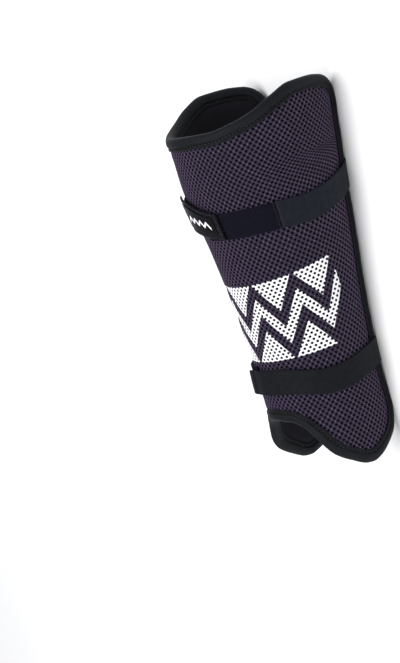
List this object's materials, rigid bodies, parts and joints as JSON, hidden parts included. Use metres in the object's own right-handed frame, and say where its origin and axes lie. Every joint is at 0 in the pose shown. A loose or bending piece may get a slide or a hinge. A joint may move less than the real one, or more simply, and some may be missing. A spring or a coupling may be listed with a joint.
{
  "type": "shin guard",
  "caption": "Padded mesh shin guard that wraps the lower leg and opens along the back, with an arch over the instep, a lobe beside each ankle and elastic straps.",
  "frame": {"origin": "centre of the underside, on the surface that the guard rests on", "axes": "+Y along the leg from the ankle end toward the knee end, +Z toward the shin side, +X toward the side that the picture shows"},
  "size_m": [0.132, 0.2998, 0.1161],
  "materials": {
    "mesh_fabric": "dark aubergine grey knitted mesh with a white printed band",
    "lining_fabric": "black brushed cloth",
    "binding_tape": "black woven tape, folded and stitched",
    "elastic": "black ribbed elastic",
    "loop_fabric": "black fuzzy loop pile",
    "tab_webbing": "black stiff webbing with a raised edge",
    "label_fabric": "black woven label with small white marks"
  },
  "bodies": {
    "root": {"pad": "mesh_fabric", "lining": "lining_fabric", "edge_binding": "binding_tape", "upper_strap": "elastic", "lower_strap": "elastic", "upper_loop_patch": "loop_fabric", "lower_loop_patch": "loop_fabric", "upper_tab": "tab_webbing", "upper_label": "label_fabric"}
  },
  "joints": []
}
